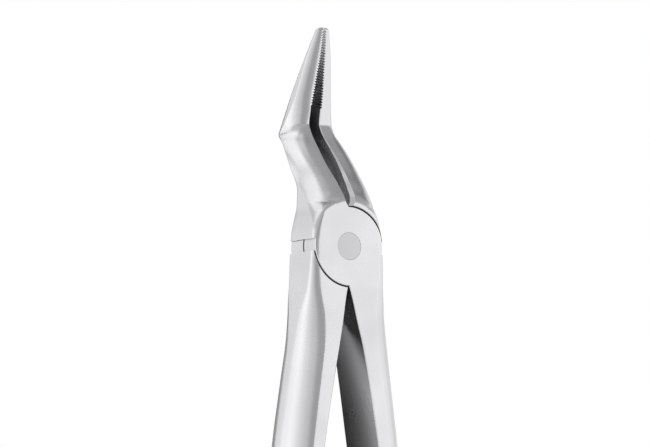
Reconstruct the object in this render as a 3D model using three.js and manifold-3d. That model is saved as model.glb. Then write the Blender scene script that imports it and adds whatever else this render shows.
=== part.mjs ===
// Dental extraction forceps: two crossing steel halves that turn on one flush rivet.
//
// Frame, in millimetres: the origin is the centre of the rivet's head, in the plane of the joint's
// front face. +X runs to the beak tips, +Z comes out of the front face along the rivet, and +Y is
// the side that the front half's beak is on. The forceps are closed.

import * as THREE from 'three';
import { mergeVertices } from 'three/addons/utils/BufferGeometryUtils.js';
import Module from 'manifold-3d';

// ---- Driving dimensions --------------------------------------------------------------------

const JOINT_DEPTH = 10; // both plates together, front face to back face
const JOINT_HALF_WIDTH = 9.2;
const PLATE_RADIUS = 8.75; // each half's round plate turns inside the other half's shoulders
const RUNNING_GAP = 0.3;
const STOP_STEP = 1.4; // the shoulders that stop the opening start this far from the rivet line
const EDGE_WIDTH = 1.6; // the softened edge between the front face and the side walls
const EDGE_DROP = 0.85;

const TIP_X = 49.6;
const BEND_X = 26.4; // where the necks end and the beaks turn forward
const BEND_BACK = -10.2; // the bend's back corner, from the joint's middle plane to its back face
const HANDLE_END_X = -122;
const HANDLE_END_ROUNDING = 5;
const TIP_ROUNDING = 1.1;

const RIVET_HEAD_RADIUS = 3.05;
const RIVET_SHANK_RADIUS = 2.2;
const RIVET_HEAD_DEPTH = 1.1;
const RIVET_CONE_DEPTH = 0.85;

const TOOTH_PITCH = 0.6; // along the beak
const TOOTH_DEPTH = 0.32;
const TEETH_START_X = 32.5;
const BEAK_LEAN = THREE.MathUtils.degToRad(17); // the middle of the beak's depth against +X

const CORNER_STEPS = 5; // facets around each rounded corner of a section
const PLATE_STEPS = 64;

// Everything below is laid out about the joint's middle plane and lowered by half its depth.
const FRONT = JOINT_DEPTH / 2;
const BACK = -JOINT_DEPTH / 2;

// ---- Curves along the length ---------------------------------------------------------------

// A smooth curve through keys [x, value] that never overshoots them.
function along(keys) {
  const slope = keys.slice(1).map(([x, v], i) => (v - keys[i][1]) / (x - keys[i][0]));
  const turn = keys.map((_, i) => {
    if (i === 0) return slope[0];
    if (i === keys.length - 1) return slope[i - 1];
    const before = slope[i - 1];
    const after = slope[i];
    return before * after <= 0 ? 0 : (2 * before * after) / (before + after);
  });
  return (x) => {
    if (x <= keys[0][0]) return keys[0][1];
    const next = keys.findIndex(([at]) => at >= x);
    if (next < 0) return keys[keys.length - 1][1];
    const [x0, v0] = keys[next - 1];
    const [x1, v1] = keys[next];
    const span = x1 - x0;
    const t = (x - x0) / span;
    return (
      v0 * (1 + 2 * t) * (1 - t) ** 2 +
      turn[next - 1] * span * t * (1 - t) ** 2 +
      v1 * t * t * (3 - 2 * t) +
      turn[next] * span * t * t * (t - 1)
    );
  };
}

// Beak and neck. They lean back from the joint to the bend, then forward to the tip.
const beak = {
  inner: along([[8.7, 0], [10, 0.7], [12, 0.9], [15, 1.0], [17.4, 1.25], [20, 1.35], [25, 1.15], [31.5, 0.95],
    [35.8, 0.85], [38, 0.68], [42.3, 0.4], [45, 0.25], [TIP_X, RUNNING_GAP / 2]]),
  outer: along([[0, JOINT_HALF_WIDTH], [3, 8.95], [6, 8.35], [9, 7.65], [13, 7.45], [18, 7.45], [21, 7.25],
    [24, 6.75], [BEND_X, 6.05], [31, 5.05], [37, 4], [43, 2.98], [TIP_X, 1.4]]),
  front: along([[9.9, FRONT], [11, 4.6], [13, 3], [15, 1.35], [17.4, -0.85], [22.2, -5.05], [27, -8.95],
    [28.6, -9.6], [31.5, -9.1], [42.3, -6.8], [TIP_X, -5.2]]),
  back: along([[9.5, BACK], [13, -5.35], [15, -6.15], [18, -7.95], [21, -10], [24, -12.4],
    [BEND_X, BACK + BEND_BACK], [28.5, -14.65], [34, -12.9], [43, -8.95], [TIP_X, -6.35]]),
  frontEdge: {
    width: along([[0, 0.17], [7, 0.3], [9, 0.45], [12, 0.55], [22, 0.65], [30, 0.5], [TIP_X, 0.6]]),
    drop: along([[0, 0.085], [7, 0.2], [12, 0.4], [22, 0.52], [30, 0.4], [TIP_X, 0.5]]),
    power: along([[0, 2], [TIP_X, 2]]),
  },
  backEdge: {
    width: along([[0, 0.05], [9, 0.1], [16, 0.25], [BEND_X, 0.3], [TIP_X, 0.4]]),
    drop: along([[0, 0.04], [9, 0.06], [16, 0.15], [BEND_X, 0.2], [TIP_X, 0.3]]),
    power: along([[0, 2], [TIP_X, 2]]),
  },
  endMiddle: 0, // the tips are rounded from outside only, so that the inner faces still meet
};

// Handle: flat on the front and back, flat inside, and bowed on the palm's side. The bow turns
// quickly at the flats and slowly between them, which is a superellipse with a power under 2.
const handle = {
  inner: along([[HANDLE_END_X, 8.2], [-112, 9.4], [-100, 10.3], [-84, 10.8], [-70, 10.2], [-56, 8.7], [-44, 6.95],
    [-34, 5.3], [-22.7, 3.15], [-17, 1.9], [-11.5, 0.8], [-9.1, 0.2], [-8.6, 0]]),
  outer: along([[HANDLE_END_X, 14.8], [-112, 15.9], [-100, 16.9], [-84, 17.8], [-70, 17.6], [-56, 16.6], [-44, 15.1],
    [-32, 13.4], [-20, 11.6], [-14, 10.65], [-9, 9.8], [-4, 9.45], [0, JOINT_HALF_WIDTH]]),
  front: along([[HANDLE_END_X, 5.5], [-100, 6], [-44, 6.2], [-23, 6.1], [-16, 5.6], [-9, FRONT]]),
  back: along([[HANDLE_END_X, -5.9], [-100, -6.6], [-44, -7], [-28, -6.4], [-18, -5.6], [-9, BACK]]),
  frontEdge: {
    width: along([[-60, 0.68], [-44, 0.64], [-24, 0.58], [-16, 0.48], [-9, 0.27], [0, 0.19]]),
    drop: along([[-44, 0.55], [-24, 0.5], [-16, 0.42], [-9, 0.2], [0, 0.095]]),
    power: along([[-20, 1.45], [-12, 1.6], [-6, 2]]),
  },
  backEdge: {
    width: along([[-60, 0.58], [-44, 0.54], [-24, 0.49], [-16, 0.4], [-9, 0.2], [0, 0.08]]),
    drop: along([[-44, 0.44], [-24, 0.42], [-16, 0.35], [-9, 0.15], [0, 0.04]]),
    power: along([[-20, 1.6], [-6, 2]]),
  },
  endMiddle: 0.5,
};

// ---- Sections and lofts --------------------------------------------------------------------

// One cross-section as points [y, z], anticlockwise seen from +X: a rectangle whose two outer
// corners are quarter superellipses. `shrink` draws it in, to round an end.
function section(shape, x, side, shrink) {
  const inner = shape.inner(x);
  const outer = shape.outer(x);
  const front = shape.front(x);
  const back = shape.back(x);
  const points = [[inner, back]];
  const corner = (edge, flatZ, towardsFlat, start) => {
    const width = edge.width(x) * (outer - inner);
    const drop = edge.drop(x) * (front - back);
    const bend = 2 / edge.power(x);
    for (let i = 0; i <= CORNER_STEPS; i += 1) {
      const angle = start + (i / CORNER_STEPS) * (Math.PI / 2);
      const across = Math.max(Math.cos(angle), 0) ** bend;
      const rise = Math.abs(Math.sin(angle)) ** bend;
      points.push([outer - width + width * across, flatZ - towardsFlat * drop * (1 - rise)]);
    }
  };
  corner(shape.backEdge, back, -1, -Math.PI / 2);
  corner(shape.frontEdge, front, 1, 0);
  points.push([inner, front]);
  const middle = [inner + shape.endMiddle * (outer - inner), (front + back) / 2];
  const placed = points.map(([y, z]) => [
    side * (middle[0] + (y - middle[0]) * shrink),
    middle[1] + (z - middle[1]) * shrink,
  ]);
  return side > 0 ? placed : placed.reverse();
}

// How far a section is drawn in, so that the last `rounding` millimetres before `end` are round.
function endShrink(x, end, rounding) {
  const past = 1 - Math.abs(end - x) / rounding;
  return past <= 0 ? 1 : Math.max(Math.sqrt(1 - past * past), 0.35);
}

// A closed body through sections at rising x.
function loft(rings) {
  const across = rings[0].points.length;
  const positions = [];
  const indices = [];
  for (const { x, points } of rings) {
    for (const [y, z] of points) positions.push(x, y, z);
  }
  for (let ring = 0; ring + 1 < rings.length; ring += 1) {
    for (let i = 0; i < across; i += 1) {
      const a = ring * across + i;
      const b = ring * across + ((i + 1) % across);
      indices.push(a, b, a + across, b, b + across, a + across);
    }
  }
  const last = (rings.length - 1) * across;
  for (let i = 1; i + 1 < across; i += 1) {
    indices.push(0, i + 1, i, last, last + i, last + i + 1);
  }
  const geometry = new THREE.BufferGeometry();
  geometry.setAttribute('position', new THREE.Float32BufferAttribute(positions, 3));
  geometry.setIndex(indices);
  return geometry;
}

function arm(shape, side, places, end, rounding) {
  const rings = places.map((x) => ({ x, points: section(shape, x, side, endShrink(x, end, rounding)) }));
  return loft(rings);
}

// Places from `from` to `to`, about `step` apart.
function spread(from, to, step) {
  const count = Math.max(1, Math.round((to - from) / step));
  return Array.from({ length: count }, (_, i) => from + ((to - from) * i) / count);
}

const beakPlaces = [
  ...spread(STOP_STEP, 9, 1.9),
  ...spread(9, 29, 1.1),
  ...spread(29, TIP_X - TIP_ROUNDING, 2.4),
  TIP_X - 0.6 * TIP_ROUNDING,
  TIP_X - 0.25 * TIP_ROUNDING,
  TIP_X,
];
const handlePlaces = [
  HANDLE_END_X,
  HANDLE_END_X + 0.12 * HANDLE_END_ROUNDING,
  HANDLE_END_X + 0.4 * HANDLE_END_ROUNDING,
  ...spread(HANDLE_END_X + HANDLE_END_ROUNDING, -44, 5),
  ...spread(-44, -9, 2.4),
  ...spread(-9, -STOP_STEP, 2.5),
  -STOP_STEP,
];

// ---- Solids --------------------------------------------------------------------------------

const wasm = await Module();
wasm.setup();

function solid(geometry) {
  const bare = geometry.clone();
  bare.deleteAttribute('normal');
  bare.deleteAttribute('uv');
  const merged = mergeVertices(bare, 1e-5);
  return new wasm.Manifold(new wasm.Mesh({
    numProp: 3,
    vertProperties: new Float32Array(merged.attributes.position.array),
    triVerts: new Uint32Array(merged.index.array),
  }));
}

function geometryOf(body) {
  const mesh = body.getMesh();
  const geometry = new THREE.BufferGeometry();
  geometry.setAttribute('position', new THREE.Float32BufferAttribute(mesh.vertProperties, 3));
  geometry.setIndex(Array.from(mesh.triVerts));
  geometry.computeVertexNormals();
  return geometry;
}

// A turned body about the rivet's axis, from a profile of [radius, z] that starts and ends on it.
function turned(profile, steps) {
  const lathe = new THREE.LatheGeometry(profile.map(([r, z]) => new THREE.Vector2(r, z)), steps);
  return lathe.rotateX(Math.PI / 2);
}

function disc(radius, low, high) {
  return solid(turned([[0, low], [radius, low], [radius, high], [0, high]], PLATE_STEPS));
}

// A bar along X with the joint's softened front edges, which trims both round plates.
function jointBar() {
  const half = JOINT_HALF_WIDTH;
  const outline = new THREE.Shape();
  outline.moveTo(-half, BACK);
  outline.lineTo(half, BACK);
  outline.lineTo(half, FRONT - EDGE_DROP);
  outline.quadraticCurveTo(half, FRONT, half - EDGE_WIDTH, FRONT);
  outline.lineTo(-half + EDGE_WIDTH, FRONT);
  outline.quadraticCurveTo(-half, FRONT, -half, FRONT - EDGE_DROP);
  outline.closePath();
  const depth = 4 * PLATE_RADIUS;
  const bar = new THREE.ExtrudeGeometry(outline, { depth, bevelEnabled: false, curveSegments: CORNER_STEPS });
  bar.translate(0, 0, -depth / 2);
  bar.rotateX(Math.PI / 2).rotateZ(Math.PI / 2);
  return solid(bar);
}

// The grooves across a beak's inner face, as one comb-shaped cutter with a V for each groove. The
// crests keep a narrow land of the flat face. The grooves run square to the leaning beak.
function serrations(side) {
  const land = 0.03;
  const centreX = (TEETH_START_X + TIP_X) / 2;
  const centreZ = (beak.front(centreX) + beak.back(centreX)) / 2;
  const length = (TIP_X - TEETH_START_X) / Math.cos(BEAK_LEAN);
  const count = Math.floor(length / TOOTH_PITCH);
  const faceAt = (s) => beak.inner(centreX + s * Math.cos(BEAK_LEAN));
  const outline = new THREE.Shape();
  const first = -length / 2;
  outline.moveTo(first, side * (faceAt(first) - land - TOOTH_DEPTH));
  for (let i = 0; i < count; i += 1) {
    const crest = first + i * TOOTH_PITCH;
    const root = crest + TOOTH_PITCH / 2;
    outline.lineTo(crest, side * (faceAt(crest) - land));
    outline.lineTo(root, side * (faceAt(root) + TOOTH_DEPTH));
  }
  const last = first + count * TOOTH_PITCH;
  outline.lineTo(last, side * (faceAt(last) - land));
  outline.lineTo(last, side * (faceAt(last) - land - TOOTH_DEPTH));
  outline.closePath();
  const depth = 2 * JOINT_DEPTH;
  const comb = new THREE.ExtrudeGeometry(outline, { depth, bevelEnabled: false });
  comb.translate(0, 0, -depth / 2);
  comb.rotateY(-BEAK_LEAN).translate(centreX, 0, centreZ);
  return solid(comb);
}

// One half: its beak arm on one side, its handle arm on the other, and a round plate between them
// in its own layer. The other half's plate turns in the pocket cut out of the arms.
function forcepsHalf({ beakSide, layer }) {
  const clear = RUNNING_GAP / 2;
  const past = JOINT_DEPTH;
  const plate = layer > 0 ? disc(PLATE_RADIUS, clear, FRONT) : disc(PLATE_RADIUS, BACK, -clear);
  const pocket = layer > 0
    ? disc(PLATE_RADIUS + RUNNING_GAP, -past, clear)
    : disc(PLATE_RADIUS + RUNNING_GAP, -clear, past);
  const beakBlank = solid(arm(beak, beakSide, beakPlaces, TIP_X, TIP_ROUNDING));
  const beakArm = beakBlank.subtract(serrations(beakSide));
  const handleArm = solid(arm(handle, -beakSide, handlePlaces, HANDLE_END_X, HANDLE_END_ROUNDING));
  return beakArm
    .add(handleArm)
    .subtract(pocket)
    .add(plate.intersect(jointBar()))
    .subtract(solid(turned(rivetProfile(RUNNING_GAP), PLATE_STEPS / 2)));
}

// The rivet has a wide flat head flush with each face. `grow` widens it, for the hole it sits in.
function rivetProfile(grow) {
  const head = RIVET_HEAD_RADIUS + grow;
  const shank = RIVET_SHANK_RADIUS + grow;
  const over = grow > 0 ? 1 : 0;
  const deep = RIVET_HEAD_DEPTH + grow;
  const cone = deep + RIVET_CONE_DEPTH;
  return [
    [0, BACK - over], [head, BACK - over], [head, BACK + deep], [shank, BACK + cone],
    [shank, FRONT - cone], [head, FRONT - deep], [head, FRONT + over], [0, FRONT + over],
  ];
}

// ---- The assembly --------------------------------------------------------------------------

const satinSteel = () => new THREE.MeshStandardMaterial({ color: '#c9cacb', roughness: 0.38, metalness: 1 });
const groundSteel = () => new THREE.MeshStandardMaterial({ color: '#bfc0c2', roughness: 0.3, metalness: 1 });

function piece(name, geometry, material) {
  const mesh = new THREE.Mesh(geometry, material);
  mesh.name = name;
  return mesh;
}

const group = new THREE.Group();
group.add(
  piece('front_half', geometryOf(forcepsHalf({ beakSide: 1, layer: 1 })), satinSteel()),
  piece('rear_half', geometryOf(forcepsHalf({ beakSide: -1, layer: -1 })), satinSteel()),
  piece('pivot_rivet', turned(rivetProfile(0), PLATE_STEPS / 2), groundSteel()),
);
group.position.z = BACK;

export default group;
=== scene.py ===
# %% [markdown]
# # Dental extraction forceps
#
# The forceps are three pieces of steel: two crossed halves and the rivet they turn on. This
# lesson models each half as a dense loft, cuts the joint into it, and finishes it as satin
# stainless steel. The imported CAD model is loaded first, because it fixes every size and place.

import math

import bmesh
import bpy
import numpy as np
from mathutils import Matrix, Vector


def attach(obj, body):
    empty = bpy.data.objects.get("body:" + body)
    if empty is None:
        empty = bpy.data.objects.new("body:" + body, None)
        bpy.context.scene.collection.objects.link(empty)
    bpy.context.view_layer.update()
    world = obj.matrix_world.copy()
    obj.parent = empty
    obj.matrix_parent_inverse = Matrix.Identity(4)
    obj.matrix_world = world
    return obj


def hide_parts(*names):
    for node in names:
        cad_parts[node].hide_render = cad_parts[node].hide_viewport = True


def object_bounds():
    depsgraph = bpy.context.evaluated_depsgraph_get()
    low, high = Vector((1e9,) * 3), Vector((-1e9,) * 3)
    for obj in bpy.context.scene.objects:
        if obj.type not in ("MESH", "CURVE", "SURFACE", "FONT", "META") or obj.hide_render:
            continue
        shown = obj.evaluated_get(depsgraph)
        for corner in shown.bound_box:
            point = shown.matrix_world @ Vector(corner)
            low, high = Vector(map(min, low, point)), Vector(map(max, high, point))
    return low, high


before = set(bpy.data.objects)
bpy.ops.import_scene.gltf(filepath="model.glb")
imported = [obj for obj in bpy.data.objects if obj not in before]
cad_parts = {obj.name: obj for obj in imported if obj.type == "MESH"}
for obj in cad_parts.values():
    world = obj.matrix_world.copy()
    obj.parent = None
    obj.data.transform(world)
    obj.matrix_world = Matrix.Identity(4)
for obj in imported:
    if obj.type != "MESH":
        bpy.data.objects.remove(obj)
cad_low, cad_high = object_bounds()
print("CAD box, mm", [round(1000 * v, 2) for v in (*cad_low, *cad_high)])

# %% [markdown]
# ## Sizes
#
# Everything is laid out in millimetres about the joint's middle plane, with +X to the tips and
# +Z out of the front face, and is moved to the frame when a mesh is made. The rivet's front head
# is the frame's origin, so the middle plane is half a joint depth below it.

# %% Driving sizes
MM = 0.001
JOINT_DEPTH = 10.0
FRONT = JOINT_DEPTH / 2
BACK = -JOINT_DEPTH / 2
JOINT_HALF_WIDTH = 9.2
PLATE_RADIUS = 8.75
REAR_PLATE_RADIUS = 8.9
GAP = 0.3  # between a plate and the shoulders round it, and between the two plates
STOP_STEP = 1.4  # the shoulders stop this far short of the rivet's axis
EDGE_WIDTH = 1.6  # the joint's front is rounded over this much of its width
EDGE_DROP = 0.85  # and falls by this much at the side
TIP_X = 49.6
HANDLE_END_X = -122.0
RIVET_RADIUS = 3.05
print("length, mm", TIP_X - HANDLE_END_X)

# %% [markdown]
# ## Smooth curves from a few sizes
#
# A forging's width and depth change smoothly along it. Each is given here as a few sizes, and a
# cubic that never overshoots them joins the sizes. A plain spline would bulge between them, which
# shows at once in the reflections on steel.

# %% Curves along the length
def along(*keys):
    xs = np.array([k[0] for k in keys], float)
    vs = np.array([k[1] for k in keys], float)
    slope = np.diff(vs) / np.diff(xs)
    turn = np.empty_like(vs)
    turn[0], turn[-1] = slope[0], slope[-1]
    for i in range(1, len(vs) - 1):
        before, after = slope[i - 1], slope[i]
        turn[i] = 0.0 if before * after <= 0 else 2 * before * after / (before + after)

    def value(x):
        x = np.clip(np.asarray(x, float), xs[0], xs[-1])
        i = np.clip(np.searchsorted(xs, x) - 1, 0, len(xs) - 2)
        span = xs[i + 1] - xs[i]
        t = (x - xs[i]) / span
        return (vs[i] * (1 + 2 * t) * (1 - t) ** 2 + turn[i] * span * t * (1 - t) ** 2
                + vs[i + 1] * t * t * (3 - 2 * t) + turn[i + 1] * span * t * t * (t - 1))

    return value


def ease(x, start, end):
    t = np.clip((x - start) / (end - start), 0, 1)
    return t * t * (3 - 2 * t)


# %% [markdown]
# ## The beak's shape
#
# From the joint the neck leans back to a bend, and the beak then comes forward to a blunt tip, so
# the dentist can reach past the front teeth. The inner faces stand apart along the neck and meet
# at the tips. Widths and drops of the edges are shares of the section's own width and depth.

# %% Beak sizes
beak_inner = along((8.7, 0), (10, 0.7), (12, 0.9), (15, 1.0), (17.4, 1.25), (20, 1.35), (25, 1.15),
                   (31.5, 0.95), (35.8, 0.85), (38, 0.68), (42.3, 0.4), (45, 0.25), (TIP_X, 0.15))
beak_outer = along((0, JOINT_HALF_WIDTH), (3, 8.95), (6, 8.35), (9, 7.65), (13, 7.45), (18, 7.45),
                   (21, 7.25), (24, 6.75), (26.4, 6.05), (31, 5.05), (37, 4), (43, 2.98), (TIP_X, 1.4))
beak_front = along((9.9, FRONT), (11, 4.6), (13, 3), (15, 1.35), (17.4, -0.85), (22.2, -5.05),
                   (27, -8.95), (28.6, -9.6), (31.5, -9.1), (42.3, -6.8), (TIP_X, -5.2))
beak_back = along((9.5, BACK), (13, -5.35), (15, -6.15), (18, -7.95), (21, -10), (24, -12.4),
                  (26.4, -15.2), (28.5, -14.65), (34, -12.9), (43, -8.95), (TIP_X, -6.35))
outside_height = along(  # of the crease where the front half's rounded front meets its flat side
    (0, 4.15), (3, 3.7), (5.5, 2.6), (8, 0.9), (10, -0.6), (12.5, -2.8), (15, -5.2), (18, -7.3),
    (21, -9.3), (24, -11.8), (26.4, -14.1), (28.5, -13.1), (31.5, -11.5), (34, -10.4), (43, -7.9),
    (TIP_X, -5.8))
rear_front_fall = along(  # the same for the rear half, as a share of the depth
    (0, 0.085), (7, 0.2), (11, 0.3), (14, 0.33), (18, 0.42), (23, 0.52), (30, 0.4), (TIP_X, 0.5))
front_round_width = {  # how wide the rounding is, as a share of the width; 1 is the front half
    1: along((0, 0.17), (4, 0.3), (8, 0.75), (11, 0.85), (26, 0.84), (31, 1), (TIP_X, 1)),
    -1: along((0, 0.17), (7, 0.3), (9, 0.45), (12, 0.55), (22, 0.65), (30, 0.4), (TIP_X, 0.4)),
}
front_round_arc = {  # the sine of the angle it has turned through at the outside
    1: along((0, 1), (5, 1), (9, 0.9), (26, 0.9), (33, 0.84), (TIP_X, 0.84)),
    -1: along((0, 1), (TIP_X, 1)),
}
rear_inner_relief = along(  # the rear half is ground back on its inside
    (10.5, 0), (12, 0.3), (15, 0.55), (18, 0.62), (22, 0.55), (27, 0.42), (32, 0.5), (44, 0.46),
    (TIP_X, 0.08))
back_corner_width = along((0, 0.03), (9, 0.08), (16, 0.22), (26.4, 0.22), (TIP_X, 0.2))
back_corner_drop = along((0, 0.02), (9, 0.05), (16, 0.12), (26.4, 0.12), (TIP_X, 0.12))
TIP_ROUNDING = 0.7
print("beak depth at the joint, the bend and the tip, mm",
      [round(float(beak_front(x) - beak_back(x)), 2) for x in (9.9, 26.4, TIP_X)])

# %% [markdown]
# The neck's front grows out of the flat of the joint, and the two meet on a circle round the
# rivet. So near the joint its height follows the distance from the rivet's axis, and farther up
# only the distance along the beak. On the outside it rounds over to a crease with the flat side.

# %% Beak section
FLAT_RADIUS = 9.9  # the joint's flat front ends here, and the neck starts to fall away
ROUND_UNTIL_X = 13  # up to here the height follows the circle
STRAIGHT_FROM_X = 25  # and from here only the distance along the beak
FINE_BEVEL = 0.2
BROAD_BEVEL = 0.85
FRONT_HALF_BEVEL = 0.22
BACK_EDGE = 0.1


def front_height(x, y):
    distance = np.hypot(x, y)
    blend = 1 - ease(x, ROUND_UNTIL_X, STRAIGHT_FROM_X)
    return beak_front(x + blend * (distance - x))


def inner_bevel(x, side):
    """The ground edge between a neck's front and its inner face: broad on the rear half's side."""
    broad = FINE_BEVEL + (BROAD_BEVEL - FINE_BEVEL) * (1 - ease(x, 10, 26))
    return broad if side < 0 else FRONT_HALF_BEVEL


def beak_section(x, side):
    inner, outer = float(beak_inner(x)), float(beak_outer(x))
    if side < 0:
        inner += float(rear_inner_relief(x))
    back = float(beak_back(x))
    depth = float(beak_front(x)) - back
    if side > 0:
        edge = float(outside_height(x))
    else:
        edge = back + depth * (1 - float(rear_front_fall(x)))
    bevel = min(inner_bevel(x, side), 0.25 * depth, 0.3 * (outer - inner))
    back_width = float(back_corner_width(x)) * (outer - inner)
    back_drop = min(float(back_corner_drop(x)) * depth, 0.9 * (edge - back))
    points = [(inner, back + BACK_EDGE)]
    points += [(y, back) for y in np.linspace(inner + BACK_EDGE, outer - back_width, 7)]
    for angle in np.linspace(0, math.pi / 2, 11)[1:]:
        points.append((outer - back_width + back_width * math.sin(angle),
                       back + back_drop * (1 - math.cos(angle))))
    points += [(outer, z) for z in np.linspace(back + back_drop, edge, 6)[1:-1]]
    flat_to = math.sqrt(max(FLAT_RADIUS ** 2 - x * x, 0))
    round_width = float(front_round_width[side](x)) * (outer - inner)
    start = max(outer - round_width, min(flat_to, outer - EDGE_WIDTH))
    base_edge = float(front_height(x, outer))
    arc = min(float(front_round_arc[side](x)), 1.0)
    full = 1 - math.sqrt(1 - arc * arc)
    for angle in np.linspace(math.pi / 2, 0, 45):
        y = inner + bevel + (outer - inner - bevel) * math.sin(angle)
        t = min(max((y - start) / (outer - start), 0), 1)
        fall = (1 - math.sqrt(1 - (arc * t) ** 2)) / full
        points.append((y, float(front_height(x, y)) - (base_edge - edge) * fall))
    corner = points[-1][1]
    points += [(inner, z) for z in np.linspace(corner - bevel * 0.9, back + BACK_EDGE, 7)[:-1]]
    return np.array(points), 0.0  # the tip draws in towards the inner face, so that the beaks meet


# %% [markdown]
# ## The handle's shape
#
# Each handle is flat on the front, the back and the inside, and bowed on the palm's side. The bow
# turns quickly at the flats and slowly between them, which is a superellipse.

# %% Handle sizes
handle_inner = along((-122, 8.2), (-112, 9.4), (-100, 10.3), (-84, 10.8), (-70, 10.2), (-56, 8.7),
                     (-44, 6.95), (-34, 5.3), (-22.7, 3.15), (-17, 1.9), (-11.5, 0.8), (-9.1, 0.2),
                     (-8.6, 0))
handle_outer = along((-122, 14.8), (-112, 15.9), (-100, 16.9), (-84, 17.8), (-70, 17.6), (-56, 16.6),
                     (-44, 15.1), (-32, 13.4), (-20, 11.6), (-14, 10.65), (-9, 9.8), (-4, 9.45),
                     (0, JOINT_HALF_WIDTH))
handle_front = along((-122, 5.5), (-100, 6), (-44, 6.2), (-23, 6.1), (-16, 5.6), (-9, FRONT))
handle_back = along((-122, -5.9), (-100, -6.6), (-44, -7), (-28, -6.4), (-18, -5.6), (-9, BACK))
bow_front_width = along((-60, 0.68), (-44, 0.64), (-24, 0.58), (-16, 0.48), (-9, 0.27), (0, 0.19))
bow_front_drop = along((-44, 0.55), (-24, 0.5), (-16, 0.42), (-9, 0.2), (0, 0.095))
bow_front_power = along((-20, 1.45), (-12, 1.6), (-6, 2))
bow_back_width = along((-60, 0.58), (-44, 0.54), (-24, 0.47), (-16, 0.32), (-9, 0.1), (0, 0.03))
bow_back_drop = along((-44, 0.44), (-24, 0.4), (-16, 0.28), (-9, 0.08), (0, 0.02))
bow_back_power = along((-20, 1.6), (-6, 2))
HANDLE_ROUNDING = 5.0
print("handle depth at the joint and the end, mm",
      [round(float(handle_front(x) - handle_back(x)), 2) for x in (-9, HANDLE_END_X)])

# %% [markdown]
# The section goes once round the handle: along the back, up the bow, across the front and down the
# flat inside. The bow is made of two quarters, because its front and back don't turn alike.

# %% Handle section
def quarter(width, drop, power, count):
    """From the side (0, 0) to the flat (-width, drop): it leaves the side softly and meets the
    flat the more quickly the lower the power is."""
    angles = np.linspace(0, math.pi / 2, count)
    across = np.cos(angles) ** (2 / power)
    return np.column_stack([-width * (1 - across), drop * np.sin(angles)])


def handle_section(x, side):
    inner, outer = float(handle_inner(x)), float(handle_outer(x))
    front, back = float(handle_front(x)), float(handle_back(x))
    depth, breadth = front - back, outer - inner
    small = min(0.22, 0.08 * breadth)
    low = quarter(bow_back_width(x) * breadth, bow_back_drop(x) * depth, float(bow_back_power(x)), 25)
    high = quarter(bow_front_width(x) * breadth, bow_front_drop(x) * depth, float(bow_front_power(x)), 37)
    low_side = back + bow_back_drop(x) * depth
    high_side = front - bow_front_drop(x) * depth
    points = [(inner, back + small)]
    points += [(y, back) for y in np.linspace(inner + small, outer + low[-1][0], 6)[:-1]]
    points += [(outer + y, low_side - z) for y, z in low[::-1]]
    points += [(outer, z) for z in np.linspace(low_side, high_side, 5)[1:-1]]
    points += [(outer + y, high_side + z) for y, z in high]
    points += [(y, front) for y in np.linspace(outer + high[-1][0], inner + small, 6)[1:]]
    points += [(inner, z) for z in np.linspace(front - small, back + small, 7)[:-1]]
    return np.array(points), 0.5  # the end draws in towards the middle


# %% [markdown]
# ## Lofting a bar from its sections
#
# A loft joins one section to the next with a band of quads. The last millimetres before an end
# draw in along a quarter ellipse, which rounds the end the way a polishing wheel does.

# %% Loft
def mesh_from(name, points, faces):
    """A mesh object in the frame, from points in millimetres about the joint's middle plane."""
    placed = (np.asarray(points, float) + [0, 0, BACK]) * MM
    mesh = bpy.data.meshes.new(name)
    mesh.from_pydata(placed.tolist(), [], faces)
    mesh.update()
    obj = bpy.data.objects.new(name, mesh)
    bpy.context.scene.collection.objects.link(obj)
    return obj


def loft(name, section_at, side, places, end, rounding, blunt):
    rings = []
    for x in places:
        outline, middle_share = section_at(x, side)
        past = 1 - abs(end - x) / rounding
        shrink = 1.0 if past <= 0 else max(math.sqrt(max(1 - past * past, 0)), blunt)
        low, high = outline.min(axis=0), outline.max(axis=0)
        middle = np.array([low[0] + middle_share * (high[0] - low[0]), (low[1] + high[1]) / 2])
        outline = middle + (outline - middle) * shrink
        outline[:, 0] *= side
        if side < 0:
            outline = outline[::-1]
        rings.append(np.column_stack([np.full(len(outline), x), outline]))
    count = len(rings[0])
    faces = []
    for ring in range(len(rings) - 1):
        for i in range(count):
            a, b = ring * count + i, ring * count + (i + 1) % count
            faces.append((a, b, b + count, a + count))
    faces.append(tuple(range(count))[::-1])
    last = (len(rings) - 1) * count
    faces.append(tuple(range(last, last + count)))
    return mesh_from(name, np.vstack(rings), faces)


def spread(start, end, step):
    return np.linspace(start, end, max(2, round(abs(end - start) / step) + 1))


def rounded_end(end, rounding, towards, steps):
    """Places that crowd together as they near a rounded end."""
    angles = np.linspace(0, math.pi / 2, steps + 1)
    return end + towards * rounding * (1 - np.sin(angles))


beak_places = np.unique(np.round(np.concatenate([
    spread(STOP_STEP, 30, 0.28), spread(30, TIP_X - TIP_ROUNDING, 0.5),
    rounded_end(TIP_X, TIP_ROUNDING, -1, 8)]), 5))
handle_places = np.unique(np.round(np.concatenate([
    rounded_end(HANDLE_END_X, HANDLE_ROUNDING, 1, 12),
    spread(HANDLE_END_X + HANDLE_ROUNDING, -30, 1.0), spread(-30, -STOP_STEP, 0.35)]), 5))
print("sections:", len(beak_places), "in a beak,", len(handle_places), "in a handle")

# %% [markdown]
# ## Turned shapes
#
# The plates, the pockets they turn in, the rivet and its hole are all turned about one axis. One
# function spins a profile of radius and height round it.

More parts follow.
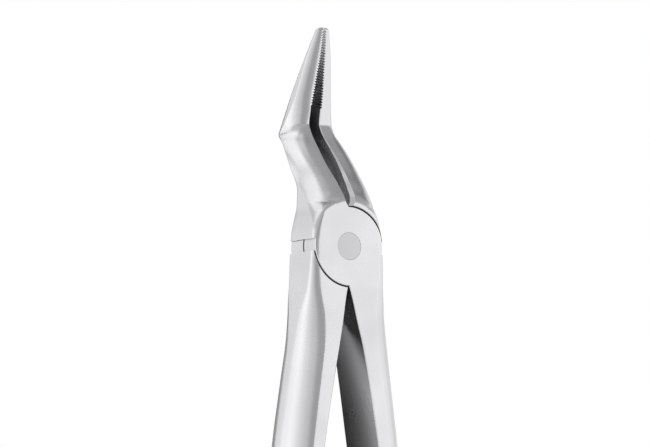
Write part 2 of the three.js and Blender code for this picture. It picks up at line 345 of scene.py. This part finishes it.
# %% Turned shapes
def turned(name, profile, steps=192):
    points, rows = [], []
    for radius, z in profile:
        if radius < 1e-6:
            rows.append([len(points)])
            points.append((0, 0, z))
            continue
        rows.append(list(range(len(points), len(points) + steps)))
        for i in range(steps):
            angle = 2 * math.pi * i / steps
            points.append((radius * math.cos(angle), radius * math.sin(angle), z))
    faces = []
    for a, b in zip(rows, rows[1:]):
        for i in range(steps):
            j = (i + 1) % steps
            if len(a) == 1:
                faces.append((a[0], b[j], b[i]))
            elif len(b) == 1:
                faces.append((a[i], a[j], b[0]))
            else:
                faces.append((a[i], a[j], b[j], b[i]))
    return mesh_from(name, points, faces)


# %% [markdown]
# ## The round plate
#
# Each half thins to a round plate in the joint, half as thick as the instrument. The front plate
# follows the softened edge of the joint, so it has many small faces that are bent down there.

# %% Plate
def edge_fall(y):
    """How far the joint's front has dropped at this distance from the middle line."""
    t = np.clip((np.abs(y) - (JOINT_HALF_WIDTH - EDGE_WIDTH)) / EDGE_WIDTH, 0, 1)
    return EDGE_DROP * (1 - np.sqrt(1 - t * t))


ARM_COVER = 0.15  # a plate dips this far under the two arms, so that no seam shows on them
FINE_RIM = 0.12  # the bevel on a plate's rim, and on the pocket round it


def plate(name, layer):
    clear = GAP / 2
    rim = FINE_RIM
    radius = PLATE_RADIUS if layer > 0 else REAR_PLATE_RADIUS
    if layer > 0:
        profile = [(0, clear), (radius - rim, clear), (radius, clear + rim)]
        profile += [(radius, z) for z in np.linspace(clear + rim, FRONT - rim, 9)[1:]]
        profile += [(r, FRONT) for r in np.linspace(radius - rim, 0, 36)]
    else:
        profile = [(0, BACK), (radius - rim, BACK), (radius, BACK + rim)]
        profile += [(radius, -clear - rim), (radius - rim, -clear), (0, -clear)]
    made = turned(name, profile)
    for v in made.data.vertices:
        x, y, z = v.co / MM
        z -= BACK
        share = np.clip((abs(z) - clear) / (FRONT - clear), 0, 1)
        under_arm = ease(math.hypot(x, y), 7.6, 8.6) * ease(x * y * layer, 8, 14)
        fall = edge_fall(y) * (layer > 0) + ARM_COVER * float(under_arm)
        v.co.z = (z + BACK - math.copysign(share * fall, z)) * MM
    return made


# %% [markdown]
# ## Cutting with booleans
#
# A real joint is milled: a round cutter sinks a pocket for the other half's plate. A boolean does
# the same here, and the cutter carries the bevel it leaves, so no bevel is needed afterwards.

# %% Booleans
def combine(target, other, operation):
    modifier = target.modifiers.new(operation.lower(), "BOOLEAN")
    modifier.operation = operation
    modifier.solver = "MANIFOLD"
    modifier.object = other
    evaluated = target.evaluated_get(bpy.context.evaluated_depsgraph_get())
    mesh = bpy.data.meshes.new_from_object(evaluated)
    target.modifiers.clear()
    target.data = mesh
    bpy.data.objects.remove(other)
    return target


def pocket(name, layer):
    """A pocket cutter for the plate of the other half, in the given layer."""
    radius = PLATE_RADIUS + GAP
    clear = GAP / 2
    past = 2 * JOINT_DEPTH
    if layer < 0:
        return turned(name, [(0, -past), (radius, -past), (radius, clear), (0, clear)])
    rise = 2.0
    return turned(name, [
        (0, -clear), (radius, -clear), (radius, FRONT - FINE_RIM),
        (radius + FINE_RIM + rise, FRONT + rise), (0, FRONT + rise)])


# %% [markdown]
# ## Serrations
#
# Grooves across the inner faces of the beaks grip the root. They are square to the leaning beak
# and 0.6 mm apart, and each is a V that leaves a narrow land of the flat face. A comb of V shapes
# cuts them all at once.

# %% Serrations
TOOTH_PITCH = 0.6
TOOTH_DEPTH = 0.42
TEETH_START_X = 32.5
BEAK_LEAN = math.radians(17)


def comb(name, side):
    land = 0.03
    centre_x = (TEETH_START_X + TIP_X) / 2
    centre_z = float(beak_front(centre_x) + beak_back(centre_x)) / 2
    length = (TIP_X - TEETH_START_X) / math.cos(BEAK_LEAN)
    count = math.floor(length / TOOTH_PITCH)
    first = -length / 2

    def face_at(s):
        x = centre_x + s * math.cos(BEAK_LEAN)
        return float(beak_inner(x)) + (float(rear_inner_relief(x)) if side < 0 else 0.0)

    outline = [(first, face_at(first) - land - TOOTH_DEPTH)]
    for i in range(count):
        crest = first + i * TOOTH_PITCH
        root = crest + TOOTH_PITCH / 2
        outline.append((crest, face_at(crest) - land))
        outline.append((root, face_at(root) + TOOTH_DEPTH))
    last = first + count * TOOTH_PITCH
    outline += [(last, face_at(last) - land), (last, face_at(last) - land - TOOTH_DEPTH)]
    points = []
    turn = Matrix.Rotation(-BEAK_LEAN, 3, "Y")
    for z in (-JOINT_DEPTH, JOINT_DEPTH):
        for s, y in outline:
            points.append(turn @ Vector((s, side * y, z)) + Vector((centre_x, 0, centre_z)))
    n = len(outline)
    faces = [tuple(range(n)), tuple(range(n, 2 * n))[::-1]]
    faces += [(i, i + n, (i + 1) % n + n, (i + 1) % n) for i in range(n)]
    made = mesh_from(name, points, faces)
    bm = bmesh.new()
    bm.from_mesh(made.data)
    bmesh.ops.recalc_face_normals(bm, faces=bm.faces)
    bm.to_mesh(made.data)
    bm.free()
    return made


# %% [markdown]
# ## The rivet
#
# The rivet is hammered over at both ends into wide flat heads and ground flush, so only a fine
# ring shows where it is. A head and its hole are 0.02 mm apart here.

# %% Rivet
def rivet_profile(grow):
    head, shank = RIVET_RADIUS + grow, 2.2 + grow
    over = 1.0 if grow > 0 else 0.0
    deep, cone = 1.1 + grow, 1.95 + grow
    edge = 0.0 if grow > 0 else 0.05
    return [(0, BACK - over), (head - edge, BACK - over), (head, BACK + edge), (head, BACK + deep),
            (shank, BACK + cone), (shank, FRONT - cone), (head, FRONT - deep), (head, FRONT - edge),
            (head - edge, FRONT + over), (0, FRONT + over)]


RIVET_STEPS = 128
rivet = turned("rivet", rivet_profile(0), RIVET_STEPS)
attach(rivet, "rear")
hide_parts("pivot_rivet")
print("rivet faces", len(rivet.data.polygons))

# %% [markdown]
# ## The two halves
#
# A half is a beak on one side, a handle on the other and a plate between them. The pocket for the
# other half's plate is cut before they are joined, and the rivet's hole goes through them all. Only
# edges sharper than 28 degrees stay sharp, so that the lofted steel reflects as one smooth surface.

# %% Halves
SHARP_ANGLE = math.radians(28)
TIP_BLUNT = 0.45  # how much of the section is left at the very tip
HANDLE_BLUNT = 0.06
HOLE_CLEARANCE = 0.02


def half(name, beak_side, layer, body, node):
    beak = loft(name + "_beak", beak_section, beak_side, beak_places, TIP_X,
                TIP_ROUNDING, TIP_BLUNT)
    handle = loft(name + "_handle", handle_section, -beak_side, handle_places, HANDLE_END_X,
                  HANDLE_ROUNDING, HANDLE_BLUNT)
    combine(beak, comb("comb", beak_side), "DIFFERENCE")
    combine(beak, pocket("cut", -layer), "DIFFERENCE")
    combine(handle, pocket("cut", -layer), "DIFFERENCE")
    combine(beak, handle, "UNION")
    combine(beak, plate("plate", layer), "UNION")
    combine(beak, turned("hole", rivet_profile(HOLE_CLEARANCE), RIVET_STEPS), "DIFFERENCE")
    beak.name = name
    beak.data.name = name
    beak.data.shade_smooth()
    beak.data.set_sharp_from_angle(angle=SHARP_ANGLE)
    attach(beak, body)
    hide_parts(node)
    print(name, "vertices and faces", len(beak.data.vertices), len(beak.data.polygons))
    return beak


front_half = half("front_half_steel", 1, 1, "front", "front_half")
rear_half = half("rear_half_steel", -1, -1, "rear", "rear_half")

# %% [markdown]
# ## One function for nodes
#
# A material is a small network. This function adds a node, sets what it is given and links what
# it is given, so each finish below reads as a list of its steps. Colours are given as the sRGB hex
# a maker would read off a sample, and one function turns them to the linear values Blender needs.

# %% Nodes and colours
def linear(hex_colour):
    channels = [int(hex_colour[i:i + 2], 16) / 255 for i in (1, 3, 5)]
    return (*[c / 12.92 if c <= 0.04045 else ((c + 0.055) / 1.055) ** 2.4 for c in channels], 1.0)


def node(tree, kind, settings=None, **inputs):
    """Adds a node. An input may be a value or another node's output socket. Inputs are given by
    name with _ for a space, or as _0, _1 and so on where several share a name."""
    made = tree.nodes.new("ShaderNode" + kind)
    for name, value in (settings or {}).items():
        setattr(made, name, value)
    for name, value in inputs.items():
        key = int(name[1:]) if name[0] == "_" and name[1:].isdigit() else name.replace("_", " ")
        socket = made.inputs[key]
        if isinstance(value, bpy.types.NodeSocket):
            tree.links.new(value, socket)
        else:
            socket.default_value = value
    return made


# %% [markdown]
# ## Satin stainless steel
#
# The instrument is martensitic stainless steel, forged, ground to shape along its length and then
# blasted with fine glass beads. The eye sees a soft, even, neutral grey sheen with no sharp
# reflections, faint lengthwise grinding under it, and edges a little brighter where handling and
# tumbling have worn the blasting away.
#
# Real bead dimples are 0.05 to 0.1 mm across, which is too fine to show, so they are drawn 0.3 mm
# across. The grinding lines are drawn 0.25 mm apart and about 9 mm long.

# %% Satin stainless steel
BEAD_DIMPLE = 0.3 * MM
GRIND_SPACING = 0.25 * MM
GRIND_LENGTH = 9 * MM
CLOUD_SIZE = 14 * MM
WORN_EDGE = 0.22 * MM


def satin_stainless(name, bright, dull, worn, roughness, grind_share):
    material = bpy.data.materials.new(name)
    material.use_nodes = True
    tree = material.node_tree
    tree.nodes.clear()
    place = node(tree, "TexCoord").outputs["Object"]
    grind_place = node(tree, "Mapping", Vector=place, Scale=(1 / GRIND_LENGTH, 1 / GRIND_SPACING,
                                                             1 / GRIND_SPACING)).outputs[0]
    grind = node(tree, "TexNoise", Vector=grind_place, Scale=1.0, Detail=3.0).outputs["Fac"]
    beads = node(tree, "TexNoise", Vector=place, Scale=1 / BEAD_DIMPLE, Detail=2.0).outputs["Fac"]
    clouds = node(tree, "TexNoise", Vector=place, Scale=1 / CLOUD_SIZE, Detail=4.0,
                  Distortion=0.4).outputs["Fac"]
    grain = node(tree, "Mix", Factor=grind_share, _2=beads, _3=grind).outputs[0]
    tone = node(tree, "MapRange", _0=clouds, _1=0.3, _2=0.7).outputs[0]
    tone = node(tree, "Mix", Factor=0.45, _2=tone, _3=grain).outputs[0]
    body = node(tree, "Mix", {"data_type": "RGBA"}, _0=tone, _6=linear(dull), _7=linear(bright))
    facing = node(tree, "NewGeometry").outputs["Normal"]
    eased = node(tree, "Bevel", {"samples": 4}, Radius=WORN_EDGE).outputs[0]
    flatness = node(tree, "VectorMath", {"operation": "DOT_PRODUCT"}, _0=facing, _1=eased)
    edge = node(tree, "MapRange", _0=flatness.outputs["Value"], _1=0.99, _2=0.86).outputs[0]
    patchy = node(tree, "MapRange", _0=clouds, _1=0.35, _2=0.6, _3=0.35, _4=1.0).outputs[0]
    wear = node(tree, "Math", {"operation": "MULTIPLY"}, _0=edge, _1=patchy).outputs[0]
    colour = node(tree, "Mix", {"data_type": "RGBA"}, _0=wear, _6=body.outputs[2], _7=linear(worn))
    rough = node(tree, "MapRange", _0=tone, _3=roughness + 0.035, _4=roughness - 0.035).outputs[0]
    rough = node(tree, "Mix", Factor=wear, _2=rough, _3=roughness * 0.7).outputs[0]
    bump = node(tree, "Bump", Strength=0.35, Distance=0.012 * MM, Height=grain).outputs[0]
    steel = node(tree, "BsdfPrincipled", Base_Color=colour.outputs[2], Metallic=1.0,
                 Roughness=rough, Normal=bump)
    node(tree, "OutputMaterial", Surface=steel.outputs[0])
    return material


satin = satin_stainless("bead-blasted stainless steel", "#d4d4d6", "#c8c8ca", "#e3e3e5", 0.28, 0.45)
for obj in (front_half, rear_half):
    obj.data.materials.clear()
    obj.data.materials.append(satin)

# %% [markdown]
# ## Ground rivet steel
#
# The rivet is the same family of steel, but its heads are peened and then ground flush, so the
# finish is a touch darker and smoother than the blasted plate round it.

# %% Ground rivet steel
ground = satin_stainless("ground rivet steel", "#c6c6c8", "#bababd", "#c2c2c4", 0.34, 0.8)
rivet.data.materials.clear()
rivet.data.materials.append(ground)
print("materials", [m.name for m in bpy.data.materials if m.users])

# %% [markdown]
# ## Camera
#
# A long lens from in front and a little to one side, as a catalogue picture is taken.

# %% Camera
RIGHT = Vector((0, -0.844, 0.536))
UP = Vector((0.994, 0.0579, 0.0912))
TOWARDS = RIGHT.cross(UP)
aim = (RIGHT * -5.35 + UP * 4.98) * MM
WIDTH = 143 * MM
DISTANCE = 2.4
lens = bpy.data.cameras.new("long lens")
lens.sensor_width = 36
lens.lens = 36 * DISTANCE / WIDTH
lens.clip_start, lens.clip_end = 0.1, 20
camera = bpy.data.objects.new("camera", lens)
bpy.context.scene.collection.objects.link(camera)
axes = Matrix((RIGHT, UP, TOWARDS)).transposed().to_4x4()
camera.matrix_world = Matrix.Translation(aim + TOWARDS * DISTANCE) @ axes
bpy.context.scene.camera = camera
print("lens, mm", round(lens.lens))

# %% [markdown]
# ## Soft boxes
#
# Satin metal shows the room more than itself, so the light is most of its look. A wall of soft
# boxes on the left gives the broad highlight down that side, and a dimmer wall on the right lifts
# the flat joint. Weaker ones in front lift the faces turned to the camera a little. Each is
# placed by how far it is round to the right of the camera and above it, and its strength is given
# in tenths of the left wall's.

# %% Soft boxes
BOX_DISTANCE = 0.8


def softbox(name, azimuths, elevations, radiance):
    """A panel that fills this range of directions, in degrees, as seen from the joint."""
    azimuth, elevation = sum(azimuths) / 2, sum(elevations) / 2
    a, e = math.radians(azimuth), math.radians(elevation)
    towards = RIGHT * (math.sin(a) * math.cos(e)) + UP * math.sin(e) + TOWARDS * (math.cos(a) * math.cos(e))
    half_width = math.radians(azimuths[1] - azimuths[0]) / 2 * math.cos(e)
    half_height = math.radians(elevations[1] - elevations[0]) / 2
    lamp = bpy.data.lights.new(name, "AREA")
    lamp.shape = "RECTANGLE"
    lamp.size = 2 * BOX_DISTANCE * math.tan(half_width)
    lamp.size_y = 2 * BOX_DISTANCE * math.tan(half_height)
    lamp.energy = radiance * math.pi * lamp.size * lamp.size_y
    obj = bpy.data.objects.new(name, lamp)
    bpy.context.scene.collection.objects.link(obj)
    across = UP.cross(towards).normalized()
    upward = towards.cross(across)
    axes = Matrix((across, upward, towards)).transposed().to_4x4()
    obj.matrix_world = Matrix.Translation(aim + towards * BOX_DISTANCE) @ axes
    obj.visible_camera = False
    return obj


KEY = 1.2  # radiance of the left wall
softbox("left wall, far", (-170, -132), (-30, 30), 0.8 * KEY)
softbox("left wall, back", (-132, -96), (-30, 30), 0.7 * KEY)
softbox("left wall", (-96, -60), (-30, 32), KEY)
softbox("left wall, near", (-60, -40), (-30, 32), 0.8 * KEY)
softbox("left strip", (-40, -20), (-30, 32), 0.5 * KEY)
softbox("front fill", (-20, 4), (-30, 32), 0.3 * KEY)
softbox("left wall, top", (-130, -62), (36, 68), KEY)
softbox("left top", (-62, -22), (36, 66), 0.2 * KEY)
softbox("front top", (-22, 60), (36, 66), 0.1 * KEY)
softbox("left wall, foot", (-104, -44), (-58, -33), 0.8 * KEY)
softbox("overhead left", (-120, -50), (70, 86), 0.5 * KEY)
softbox("right wall", (52, 96), (-30, 26), 0.7 * KEY)
softbox("right wall, back", (96, 170), (-30, 26), 0.6 * KEY)
softbox("right wall, foot", (50, 90), (-58, -33), 0.5 * KEY)

# %% [markdown]
# ## Room
#
# Where no soft box stands, the steel reflects an even grey room, which fills the shadows.

# %% Room
world = bpy.data.worlds.new("studio")
bpy.context.scene.world = world
world.use_nodes = True
world.node_tree.nodes["Background"].inputs["Color"].default_value = (0.5, 0.5, 0.502, 1)
world.node_tree.nodes["Background"].inputs["Strength"].default_value = 1.0

# %% [markdown]
# ## Floor
#
# The floor is white paper, far enough below that the forceps cast no shadow that shows on it. To
# the camera it glows pure white, like an overexposed backdrop. To the steel it is matt paper, so it
# doesn't flood the undersides with light.

# %% Floor
FLOOR_DROP = 0.75
bpy.ops.mesh.primitive_plane_add(size=12, location=(0, 0, cad_low.z - FLOOR_DROP))
floor = bpy.context.object
floor.name = "floor"
paper = bpy.data.materials.new("white paper")
paper.use_nodes = True
tree = paper.node_tree
tree.nodes.clear()
matt = node(tree, "BsdfDiffuse", Color=linear("#b0b0b0"), Roughness=0.5)
glow = node(tree, "Emission", Color=(1, 1, 1, 1), Strength=1.0)
seen = node(tree, "LightPath").outputs["Is Camera Ray"]
shown = node(tree, "MixShader", _0=seen, _1=matt.outputs[0], _2=glow.outputs[0])
node(tree, "OutputMaterial", Surface=shown.outputs[0])
floor.data.materials.append(paper)

# %% [markdown]
# ## Black card
#
# A studio puts black card near polished metal to keep some faces dark. Here two pieces lie just
# behind the forceps, one behind the handles and one behind the neck and beaks, where the inner
# faces reflect them. The camera doesn't see them.

# %% Black card
card_corners = [(-124, -16, -19), (-6, -7, -19), (-6, 8, -19), (-124, 4, -19),
                (2, -4, -23), (50, -4, -22), (50, 4.5, -22), (2, 11, -23)]
card_mesh = bpy.data.meshes.new("black card")
card_mesh.from_pydata([tuple(MM * c for c in p) for p in card_corners], [], [(0, 1, 2, 3), (4, 5, 6, 7)])
card = bpy.data.objects.new("black card", card_mesh)
bpy.context.scene.collection.objects.link(card)
flock = bpy.data.materials.new("black flock")
flock.use_nodes = True
tree = flock.node_tree
tree.nodes.clear()
node(tree, "OutputMaterial", Surface=node(tree, "BsdfDiffuse", Color=linear("#202020")).outputs[0])
card.data.materials.append(flock)
card.visible_camera = False
bpy.context.scene.view_settings.view_transform = "Standard"
